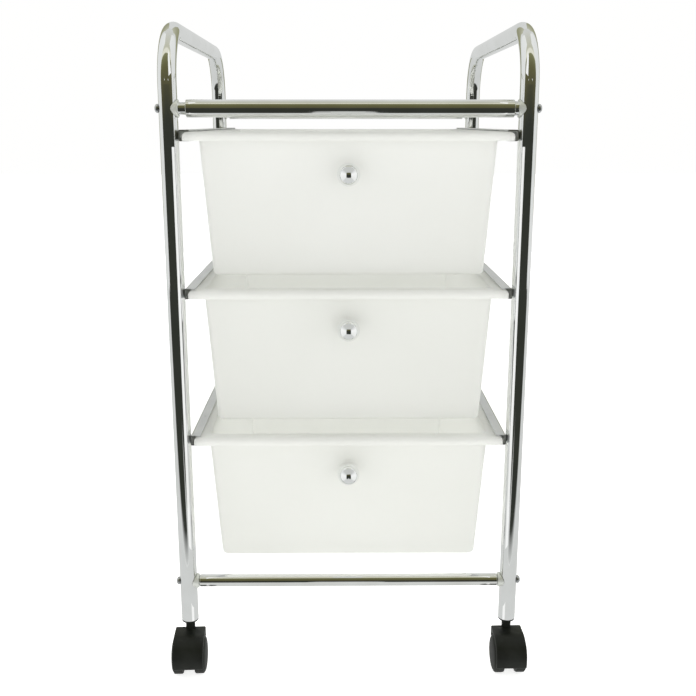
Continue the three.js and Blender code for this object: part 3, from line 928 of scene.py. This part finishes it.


# Painted reflections: glowing sheets that only mirrored rays see, which paint what the plating
# mirrors. Name, corners, axis of the gradient and its (metres, colour) stops. They paint an unlit
# room with the glints of two small lamps in front of the cart, white paper under, beside and
# behind it, and two screens before the paper at the back.
PAINTED_REFLECTIONS = [
    ("room_front", facing(-ROOM_X, ROOM_X, -4, 0, ROOM_Z), "Z",
     [(0.0, DARK), (0.68, DARK), (0.95, OLIVE), (3.2, MOSS), (ROOM_Z, BROWN)]),
    ("room_floor", lying(-ROOM_X, ROOM_X, -4, PAPER_Y, 0.002), "Y",
     [(-4.0, DARK), (PAPER_Y - 0.10, DARK), (PAPER_Y, PAPER)]),
    ("room_ceiling", lying(-ROOM_X, ROOM_X, -4, 4, ROOM_Z), "Y",
     [(-4.0, LAMP), (-2.7, LAMP), (-2.3, PALE), (4.0, PAPER)]),
    ("paper_back", facing(-ROOM_X, ROOM_X, 4, 0, ROOM_Z), "Z",
     [(0.0, PAPER), (ROOM_Z, (0.74, 0.75, 0.74))]),
    ("paper_floor", lying(-ROOM_X, ROOM_X, PAPER_Y, 4, 0.001), "Y", [(PAPER_Y, PAPER), (4.0, PAPER)]),
    ("paper_left", beside(-PAPER_X, -1.1, 2, 0, ROOM_Z), "Z", [(0.0, SIDE_PAPER), (ROOM_Z, BRIGHT)]),
    ("paper_right", beside(PAPER_X, -1.1, 2, 0, ROOM_Z), "Z", [(0.0, SIDE_PAPER), (ROOM_Z, BRIGHT)]),
    ("paper_tongue", lying(-0.05, 0.05, -1.0, PAPER_Y, 0.003), "Y",
     [(-1.0, DARK), (-0.75, (0.40, 0.40, 0.39)), (PAPER_Y, PAPER)]),
    ("screen_left", facing(-3.6, -1.2, 3.9, 0, ROOM_Z), "Z", [(0.0, BROWN), (ROOM_Z, PALE)]),
    ("screen_right", facing(1.2, 3.6, 3.9, 0, ROOM_Z), "Z", [(0.0, BROWN), (ROOM_Z, PALE)]),
    # Painted glints: two small glowing sheets, seen only in reflections, that stand in for lamps.
    ("painted_lamp_glint_left", facing(-1.72, -1.36, -3.9, 1.25, 1.42), "Z", [(1.25, WHITE), (1.42, WHITE)]),
    ("painted_lamp_glint_right", facing(1.36, 1.72, -3.9, 1.25, 1.42), "Z", [(1.25, WHITE), (1.42, WHITE)]),
]

# Lamps: name, place, the point they face, size in metres and watts.
SOFTBOXES = [
    ("softbox_left", (-1.9, -0.5, 0.72), (0.0, 0.0, 0.20), 1.4, 3.5),
    ("softbox_right", (2.0, -0.5, 0.72), (0.0, 0.0, 0.20), 1.4, 7.0),
    ("softbox_front", (0.5, -2.2, 1.1), (0.0, 0.0, 0.25), 2.0, 5.5),
    ("softbox_back", (0.0, 2.6, 1.0), (0.0, 0.0, 0.25), 2.4, 15.0),
]


def leg_painted_reflections():
    """Glowing white sheets just inside the front legs, cut away at the bars, seen only in reflections: they paint
    a bright reflection strip on the plating.
    """
    low, high = (corner * MM for corner in node_box("side_frame_right"))
    inside_x = (low.x + high.x) / 2 - LEG_REFLECTION_INSET
    rear_y, front_y = low.y - LEG_REFLECTION_REAR, low.y - LEG_REFLECTION_FRONT
    breaks = [FLOOR_CLEAR]
    for bar in ("low_bar_front", "top_bar_front"):
        bar_low, bar_high = (corner * MM for corner in node_box(bar))
        breaks += [bar_low.z - BAR_CLEAR, bar_high.z + BAR_CLEAR]
    breaks.append(high.z)
    made = []
    for side, x in (("left", -inside_x), ("right", inside_x)):
        for part in range(3):
            low_z, high_z = breaks[2 * part : 2 * part + 2]
            corners = beside(x, rear_y, front_y, low_z, high_z)
            made.append((f"leg_card_{part}_{side}", corners, "Z", [(low_z, WHITE), (high_z, WHITE)]))
    return made


def knob_painted_reflections():
    """A small glowing tent before each knob, open to the front and seen only in reflections: it paints a bright
    reflection on the ball and keeps the painted unlit room's image small.
    """
    made = []
    for level in ("upper", "middle", "lower"):
        low, high = (corner * MM for corner in node_box(f"drawer_{level}_knob"))
        ball = (low.z + high.z) / 2
        low_z, high_z = ball - TENT_DOWN, ball + TENT_UP
        corners = []
        for y in (low.y + TENT_REAR, low.y - TENT_FRONT):
            corners += facing(-TENT_X, TENT_X, y, low_z, high_z)
        stops = [(low_z, PAPER), (low_z + 0.004, BRIGHT), (ball + 0.004, WHITE)]
        stops += [(high_z - 0.003, PAPER), (high_z, GREY)]
        made.append((f"knob_painted_reflection_{level}", corners, "Z", stops))
    return made


def build_world():
    """White to the camera; the light it gives fades from AMBIENT_LOW at eye level to AMBIENT_HIGH."""
    world = bpy.data.worlds.new("studio_white")
    bpy.context.scene.world = world
    world.use_nodes = True
    tree = world.node_tree
    sky = tree.nodes["Background"]
    sky.inputs["Color"].default_value = (1.0, 1.0, 0.995, 1.0)
    place = tree.nodes.new("ShaderNodeTexCoord")
    split = tree.nodes.new("ShaderNodeSeparateXYZ")
    height = tree.nodes.new("ShaderNodeMapRange")
    height.inputs["To Min"].default_value = AMBIENT_LOW
    height.inputs["To Max"].default_value = AMBIENT_HIGH
    rays = tree.nodes.new("ShaderNodeLightPath")
    level = tree.nodes.new("ShaderNodeMapRange")
    level.inputs["To Max"].default_value = 1.0
    tree.links.new(place.outputs["Generated"], split.inputs["Vector"])
    tree.links.new(split.outputs["Z"], height.inputs["Value"])
    tree.links.new(height.outputs["Result"], level.inputs["To Min"])
    tree.links.new(rays.outputs["Is Camera Ray"], level.inputs["Value"])
    tree.links.new(level.outputs["Result"], sky.inputs["Strength"])


def build_studio():
    half = 9.0
    floor = plane("studio_floor", [(-half, -half, 0), (half, -half, 0), (half, half, 0), (-half, half, 0)])
    floor.data.materials.append(floor_material())
    floor.visible_glossy = False

    for name, corners, axis, stops in PAINTED_REFLECTIONS + leg_painted_reflections() + knob_painted_reflections():
        painted_reflection_sheet = plane(name, corners)
        painted_reflection_sheet.data.materials.append(glowing(name, axis, stops))
        # Only mirrored rays see these glowing sheets: they paint reflections and give no other light.
        painted_reflection_sheet.visible_camera = False
        painted_reflection_sheet.visible_diffuse = False
        painted_reflection_sheet.visible_shadow = False
        painted_reflection_sheet.visible_transmission = False

    for name, place, target, size, watts in SOFTBOXES:
        data = bpy.data.lights.new(name, "AREA")
        data.size = size
        data.energy = watts
        lamp = bpy.data.objects.new(name, data)
        lamp.location = place
        lamp.rotation_mode = "QUATERNION"
        lamp.rotation_quaternion = (Vector(target) - Vector(place)).to_track_quat("-Z", "Y")
        lamp.visible_glossy = False
        lamp.visible_camera = False
        bpy.context.scene.collection.objects.link(lamp)


def build_camera():
    data = bpy.data.cameras.new("camera")
    data.sensor_width = 36.0
    data.lens = CAMERA_LENS
    camera = bpy.data.objects.new("camera", data)
    camera.location = Vector(CAMERA_PLACE) * MM
    camera.rotation_euler = [math.radians(value) for value in CAMERA_TURN]
    bpy.context.scene.collection.objects.link(camera)
    bpy.context.scene.camera = camera


build_world()
build_studio()
build_camera()
bpy.context.scene.view_settings.view_transform = "Standard"

bpy.context.view_layer.update()
